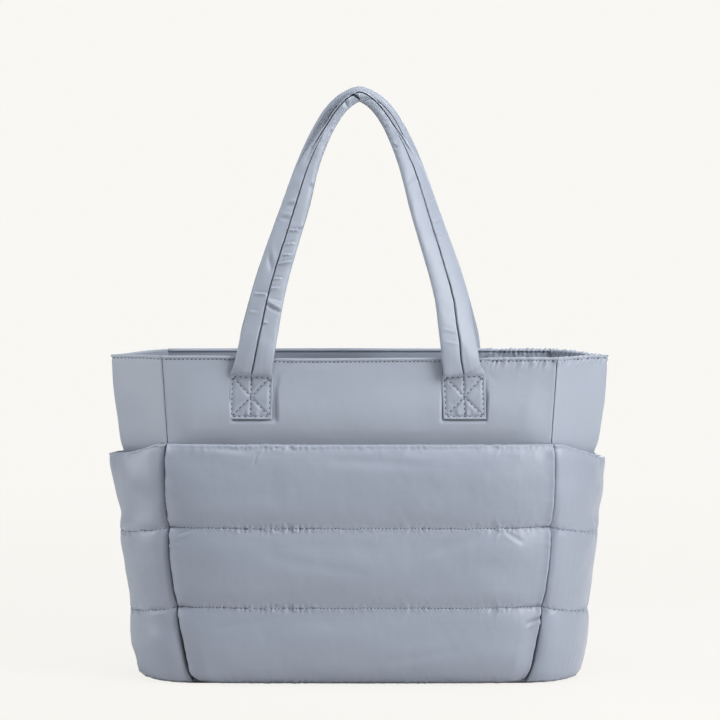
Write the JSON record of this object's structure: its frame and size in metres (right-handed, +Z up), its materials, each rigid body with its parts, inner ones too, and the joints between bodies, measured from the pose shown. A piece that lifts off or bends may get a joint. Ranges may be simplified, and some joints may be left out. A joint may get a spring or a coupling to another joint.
{
  "type": "quilted tote bag",
  "caption": "Open-topped quilted tote bag with a padded slip pocket on its front, a bottle pocket at each end and padded handles that meet over the mouth.",
  "frame": {"origin": "middle of the base's flat underside, on the surface that the bag stands on", "axes": "+Z up, towards the handles; the front, with the slip pocket, faces -Y; +X is to the right as seen from the front"},
  "size_m": [0.5, 0.1795, 0.5933],
  "materials": {
    "shell": "satin",
    "quilting": "satin",
    "webbing": "satin"
  },
  "bodies": {
    "root": {"base_panel": "shell", "front_panel": "shell", "back_panel": "shell", "gusset_left": "shell", "gusset_right": "shell", "front_pocket": "quilting", "side_pocket_left": "quilting", "side_pocket_right": "quilting", "front_handle": "webbing", "back_handle": "webbing"}
  },
  "joints": []
}
